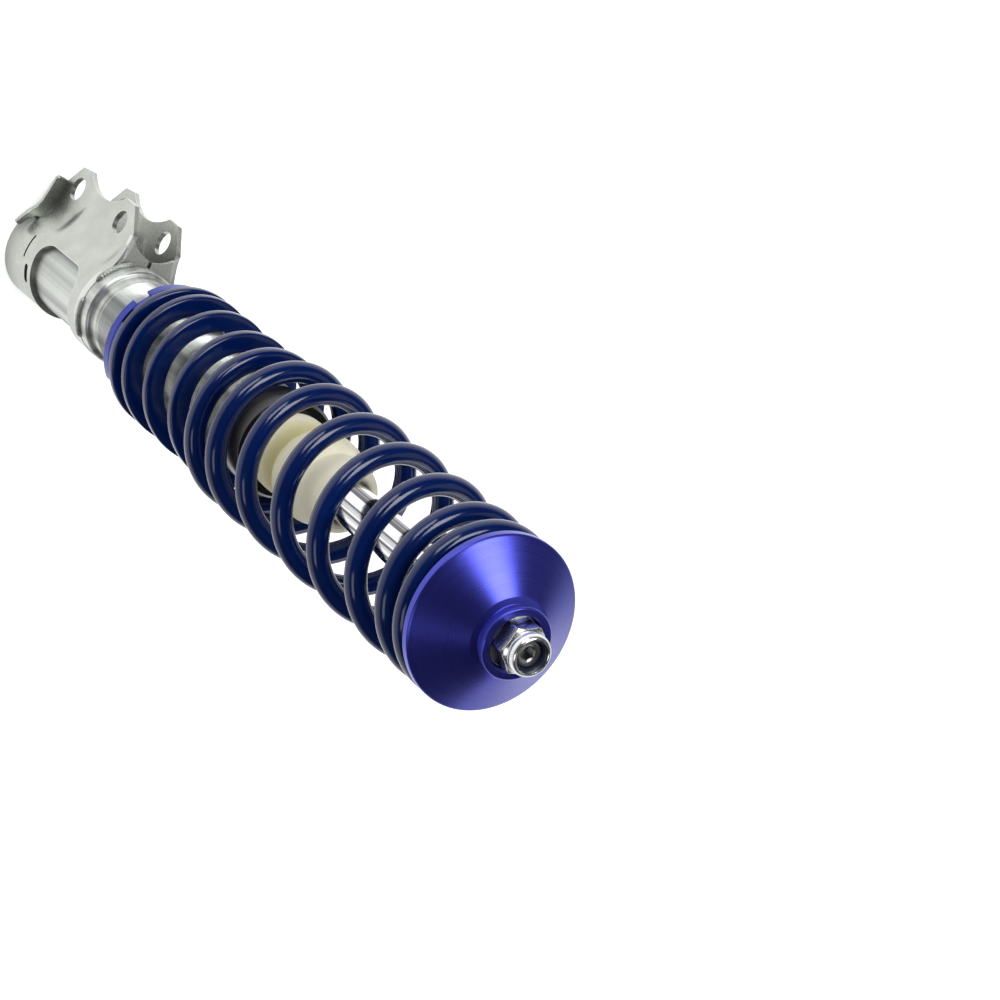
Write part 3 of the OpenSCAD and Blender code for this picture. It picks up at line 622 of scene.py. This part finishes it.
SHEET_T, WRAP_R, EAR_OUT, EAR_IN = 3.0, 28.0, 16.5, 13.5
ABOVE, BELOW, LIP_LOW, LIP_HIGH = 54.0, -50.0, -43.5, -40.5
BOLT_X, BOLT_Z, HOLE_R = 41.0, 28.75, 6.75
TIP_X, TIP_LOW, TIP_HIGH, SCALLOP = 54.0, 23.25, 34.25, 8.0
CORNER_X, CORNER_Z = 40.5, 47.5
WRAP_X, WRAP_Y = WRAP_R * 0.5, WRAP_R * sin(pi / 3)
# A pad's crease ends this far from its bolt's height, over so many mm, and moves in by so many
PAD_REACH, PAD_EASE, CREASE_X, CREASE_SHIFT = 19, 8, 38, 10.5
EAR_COLUMNS, WRAP_COLUMNS, LIP_EASE, INNER_SHIFT = 40, 80, 0.10, 0.6
WEB_TILT = -0.2405  # radians
LIP_SIDE = (
    (15.9, 21.5), (15, 25.2), (12.4, 27.7), (7.4, 30.8), (6.9, 32.4), (8.2, 34.2), (12.5, 32.2),
    (17.2, 29.9), (21.2, 27), (25, 25.7), (33.5, 25), (40.6, 24.6), (42, 23.2), (42, 20),
    (41, 14.5), (28, 14.5), (16, 20))


def pressed(x, z):
    """Outer face of an ear at x and z, and its slope: flat pads round the bolts, with a crease."""
    pad = min(1.0, max(0.0, (PAD_REACH - abs(abs(z) - BOLT_Z)) / PAD_EASE))
    flat = CREASE_X - CREASE_SHIFT * pad
    left = max(0.0, 1 - (x - WRAP_X) / (flat - WRAP_X))
    drop = WRAP_Y - EAR_OUT
    slope = -drop * (0.3 + 1.4 * left) / (flat - WRAP_X) if left else 0.0
    return EAR_OUT + drop * (0.3 * left + 0.7 * left * left), slope


def tip_edge(z):
    """How far the ear reaches at height z, with the scallop between the two bolts."""
    radius = (TIP_LOW ** 2 + SCALLOP ** 2) / (2 * SCALLOP)
    if abs(z) < TIP_LOW:
        return TIP_X - SCALLOP + radius - sqrt(radius ** 2 - z * z)
    if z < -TIP_HIGH:
        return CORNER_X + (TIP_X - 1 - CORNER_X) * (z - LIP_LOW) / (-TIP_HIGH - LIP_LOW)
    if z > TIP_HIGH:
        return CORNER_X + (TIP_X - 0.5 - CORNER_X) * (CORNER_Z - z) / (CORNER_Z - TIP_HIGH)
    inset = 1.0 if z < 0 else 0.5
    return TIP_X - inset * (abs(z) - TIP_LOW) / (TIP_HIGH - TIP_LOW)


def row_heights():
    """Rows that hit every corner of the ear's outline."""
    marks = [LIP_LOW, -TIP_HIGH, -TIP_LOW, TIP_LOW, TIP_HIGH, CORNER_Z]
    rows = []
    for low, high, steps in zip(marks, marks[1:], (5, 5, 26, 5, 6)):
        rows += [low + (high - low) * k / steps for k in range(steps)]
    return rows + [CORNER_Z]


def bracket_shell():
    """The pressed sheet: two ears and the part wrapped round the tube, as one closed skin."""
    ends = row_heights()
    share = [(z - LIP_LOW) / (CORNER_Z - LIP_LOW) for z in ends]
    ear = [1 - k / EAR_COLUMNS for k in range(EAR_COLUMNS)]
    around = [radians(60 + 240 * k / WRAP_COLUMNS) for k in range(WRAP_COLUMNS + 1)]
    outer, inner = [], []
    for side in (1, 0, -1):
        columns = {1: ear, 0: around, -1: ear[::-1]}[side]
        for u in columns:
            for end, v in zip(ends, share):
                if side:
                    x = WRAP_X + u * (tip_edge(end) - WRAP_X)
                    z = LIP_LOW + v * (ABOVE + u * (CORNER_Z - ABOVE) - LIP_LOW)
                    y, slope = pressed(x, z)
                    lean = sqrt(1 + slope * slope)
                    outer.append((x, side * y, z))
                    inner.append((x + SHEET_T * slope / lean * INNER_SHIFT,
                                  side * (y - SHEET_T / lean), z))
                else:
                    low = BELOW + (LIP_LOW - BELOW) * max(
                        0.0, 1 - abs(u - pi / 3) / LIP_EASE, 1 - abs(u - 5 * pi / 3) / LIP_EASE)
                    z = low + v * (ABOVE - low)
                    outer.append((WRAP_R * cos(u), WRAP_R * sin(u), z))
                    inner.append(((WRAP_R - SHEET_T) * cos(u), (WRAP_R - SHEET_T) * sin(u), z))
    rows = len(ends)
    columns = len(outer) // rows
    skin = len(outer)
    faces = []
    for i in range(columns - 1):
        for j in range(rows - 1):
            a, b = i * rows + j, (i + 1) * rows + j
            faces += [(a, b, b + 1, a + 1), (a + skin, a + 1 + skin, b + 1 + skin, b + skin)]
        for j in (0, rows - 1):
            a, b = i * rows + j, (i + 1) * rows + j
            faces.append((a, a + skin, b + skin, b))
    for i in (0, columns - 1):
        for j in range(rows - 1):
            a = i * rows + j
            faces.append((a, a + 1, a + 1 + skin, a + skin))
    return outer + inner, faces


def prism(outline, low, high, turn=None):
    """A column over an outline of (x, y); turn moves its points afterwards."""
    count = len(outline)
    points = [(x, y, z) for z in (low, high) for x, y in outline]
    if turn:
        points = [turn(p) for p in points]
    faces = [tuple(range(count)), tuple(range(count, 2 * count))]
    faces += [(k, (k + 1) % count, count + (k + 1) % count, count + k) for k in range(count)]
    return points, faces


def rounded_window():
    """Outline in (x, z) of the window that bares the back of the tube."""
    low, high, side, radius = -14.0, 39.0, WRAP_R * cos(radians(70)), 12.0
    arc = [(radius * (sin(radians(a)) - 1), radius * (1 - cos(radians(a))))
           for a in range(0, 91, 6)]
    return ([(-60, low)] + [(side + p, low + q) for p, q in arc]
            + [(side + p, high - q) for p, q in arc[::-1]] + [(-60, high)])


def hole_circle(radius, x, z, sides=64):
    """Outline in (x, z) of a round hole."""
    return [(x + radius * cos(tau * k / sides), z + radius * sin(tau * k / sides))
            for k in range(sides)]


def across(outline):
    """A cutter that runs along Y over an outline of (x, z)."""
    return cutter_from(*prism(outline, -70, 70, lambda p: (p[0], p[2], p[1])))


def slot_cutter(turn, z, length, width):
    """A cutter for a slot with round ends through the sheet, at an angle round the tube."""
    half, radius = (length - width) / 2, width / 2
    outline = [(half + radius * cos(radians(a)), radius * sin(radians(a)))
               for a in range(-90, 91, 15)]
    outline += [(-x, -y) for x, y in outline]
    a = radians(turn)
    return cutter_from(*prism(outline, 20, 34, lambda p: (
        p[2] * cos(a) - p[0] * sin(a), p[2] * sin(a) + p[0] * cos(a), z + p[1])))


points, faces = bracket_shell()
bracket = part("bracket_sheet", points, faces, SHEET, "damper_body", "zinc_sheet",
               ["knuckle_bracket"])
cut_with(bracket, [across(rounded_window()), across(hole_circle(HOLE_R, BOLT_X, BOLT_Z)),
                   across(hole_circle(HOLE_R, BOLT_X, -BOLT_Z)), slot_cutter(118, -20, 11, 4),
                   slot_cutter(88, -26, 14, 1.6)])
soften(bracket, 0.4, segments=3, angle=40)


def tilted(p):
    """A web's point turned about the ear's upper corner."""
    x, z = p[0] - CORNER_X, p[2]
    return (CORNER_X + x * cos(WEB_TILT) - z * sin(WEB_TILT), p[1],
            CORNER_Z + x * sin(WEB_TILT) + z * cos(WEB_TILT))


for side in (1, -1):
    name = "left" if side > 0 else "right"
    free = []
    for k in range(17):
        t = k / 16
        free.append((31 * (1 - t) ** 2 + 64 * t * (1 - t) + 39.8 * t * t,
                     side * (1.2 * (1 - t) ** 2 + 18.9 * t * (1 - t) + (EAR_IN + 2.9) * t * t)))
    outline = [(13, side * 1.2)] + free + [(26, side * (EAR_IN + 2.9)), (20, side * 19.4),
                                           (13, side * 22.6)]
    web = part("web_" + name, *prism(outline, -SHEET_T, 0.02, tilted), SHEET, "damper_body",
               "zinc_sheet")
    cut_with(web, [post(RING_BORE, 30, 70, sides=96)])
    soften(web, 0.7, segments=3)
    lip = part("lip_" + name, *prism([(x, side * y) for x, y in LIP_SIDE], LIP_LOW - 0.02,
                                     LIP_HIGH), SHEET, "damper_body", "zinc_sheet")
    soften(lip, 0.8, segments=3)
turned_part("bracket_collar", [(25, 48), (27.5, 48), (27.5, 53.2), (26.9, 53.8), (25, 53.8)],
            SHEET, "damper_body", "zinc_sheet", ease=0.3)


# ---------- Weld beads ----------

BEAD_REACH, BEAD_SIZE, DROPS = 28.3, 1.7, 13


def weld_bead(name, start, sweep=48.0, steps=72, sides=14):
    """A bead laid in overlapping drops, tapered at both ends."""
    points, faces = [], []
    for i in range(steps + 1):
        t = i / steps
        a = radians(start + sweep * t)
        drop = 0.5 + 0.5 * cos(tau * t * DROPS)
        size = BEAD_SIZE * (0.9 + 0.1 * drop) * min(1.0, sqrt(max(0.05, min(t, 1 - t) * 9)))
        for k in range(sides):
            b = tau * k / sides
            r = BEAD_REACH + size * cos(b)
            points.append((r * cos(a), r * sin(a), ABOVE + size * sin(b)))
    for i in range(steps):
        for k in range(sides):
            n = (k + 1) % sides
            faces.append((i * sides + k, i * sides + n, (i + 1) * sides + n, (i + 1) * sides + k))
    faces += [tuple(range(sides)), tuple(steps * sides + k for k in range(sides))]
    return part(name, points, faces, WELD, "damper_body", "weld")


beads = [weld_bead("weld_%d" % i, start) for i, start in enumerate((22, 92, 214, 284))]
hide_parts("bracket_welds")


# ---------- Pieces that keep their CAD shape ----------

for node_name, material in {
        "base_cap": ZINC, "pressure_tube": STEEL, "base_valve": SINTER,
        "rod_guide": ALLOY, "guide_bush": BRONZE, "rod_seal": RUBBER, "rod_wiper": RUBBER,
        "rebound_stop": RUBBER, "piston": SINTER, "piston_band": PTFE, "piston_nut": NUT}.items():
    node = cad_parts[node_name]
    if not node.material_slots:
        node.data.materials.append(material)
    for slot in node.material_slots:
        slot.link = "OBJECT"
        slot.material = material


# ---------- Floor and light ----------

FLOOR_Z, FLOOR_HALF = -0.0505, 6
WHITE = (1.0, 1.0, 1.0, 1.0)
# Strengths: the floor as seen, the world for soft light and the white backdrop
GLOW, AMBIENT, BACKDROP = 0.58, 0.50, 1.0
floor_mesh = bpy.data.meshes.new("floor")
floor_mesh.from_pydata([(x * FLOOR_HALF, y * FLOOR_HALF, FLOOR_Z)
                        for x, y in ((-1, -1), (1, -1), (1, 1), (-1, 1))], [], [(0, 1, 2, 3)])
floor_plane = bpy.data.objects.new("floor", floor_mesh)
bpy.context.scene.collection.objects.link(floor_plane)
paper = bpy.data.materials.new("pale_floor")
paper.use_nodes = True
tree = paper.node_tree
tree.nodes.clear()
path = wire(tree, "ShaderNodeLightPath").outputs
seen = maths(tree, "MINIMUM", 1.0, maths(tree, "ADD", maths(
    tree, "ADD", path["Is Camera Ray"], path["Is Glossy Ray"]), path["Is Transmission Ray"]))
diffuse = wire(tree, "ShaderNodeBsdfDiffuse", {"Color": (0.80, 0.80, 0.80, 1.0)})
glow = wire(tree, "ShaderNodeEmission", {"Color": WHITE,
                                         "Strength": maths(tree, "MULTIPLY", seen, GLOW)})
both = wire(tree, "ShaderNodeAddShader", {0: diffuse.outputs[0], 1: glow.outputs[0]})
wire(tree, "ShaderNodeOutputMaterial", {"Surface": both.outputs[0]})
floor_mesh.materials.append(paper)

world = bpy.data.worlds.new("studio")
bpy.context.scene.world = world
world.use_nodes = True
tree = world.node_tree
tree.nodes.clear()
path = wire(tree, "ShaderNodeLightPath").outputs
height = wire(tree, "ShaderNodeSeparateXYZ",
              {0: wire(tree, "ShaderNodeTexCoord").outputs["Generated"]}).outputs[2]
# Reflections see the white horizon and, above it, a darker studio ceiling
ceiling = spread(tree, height, 0.8, 0.05, 0.0, 0.16)
lit, mirrored, white = (
    wire(tree, "ShaderNodeBackground", {"Color": WHITE, "Strength": strength})
    for strength in (AMBIENT, ceiling, BACKDROP))
glossy = wire(tree, "ShaderNodeMixShader", {0: path["Is Glossy Ray"], 1: lit.outputs[0],
                                            2: mirrored.outputs[0]})
clear = maths(tree, "MAXIMUM", path["Is Camera Ray"], path["Is Transmission Ray"])
final = wire(tree, "ShaderNodeMixShader", {0: clear, 1: glossy.outputs[0], 2: white.outputs[0]})
wire(tree, "ShaderNodeOutputWorld", {"Surface": final.outputs[0]})


def softbox(name, spot, aim, wide, tall, power):
    """A soft area lamp at the spot, turned towards the aim; metres and watts."""
    data = bpy.data.lights.new(name, "AREA")
    data.shape = "RECTANGLE"
    data.size, data.size_y = wide, tall
    data.energy = power
    lamp = bpy.data.objects.new(name, data)
    bpy.context.scene.collection.objects.link(lamp)
    lamp.location = spot
    lamp.rotation_euler = (Vector(aim) - Vector(spot)).to_track_quat("-Z", "Y").to_euler()


MIDDLE = (-0.04, 0.0, 0.25)
softbox("key", (1.31, 0.05, 2.06), (-0.04, 0.0, 0.45), 1.1, 0.8, 26)
softbox("side", (1.40, 1.25, 1.05), MIDDLE, 1.0, 0.7, 14)
softbox("top", (0.48, -1.22, 1.54), (-0.01, 0.0, 0.05), 1.2, 0.9, 1.7)
softbox("front", (-1.3, 1.3, 1.7), MIDDLE, 0.8, 0.8, 5)
softbox("rear", (-0.9, -1.6, 1.0), MIDDLE, 1.2, 0.8, 7)

bpy.context.scene.view_settings.view_transform = "Standard"
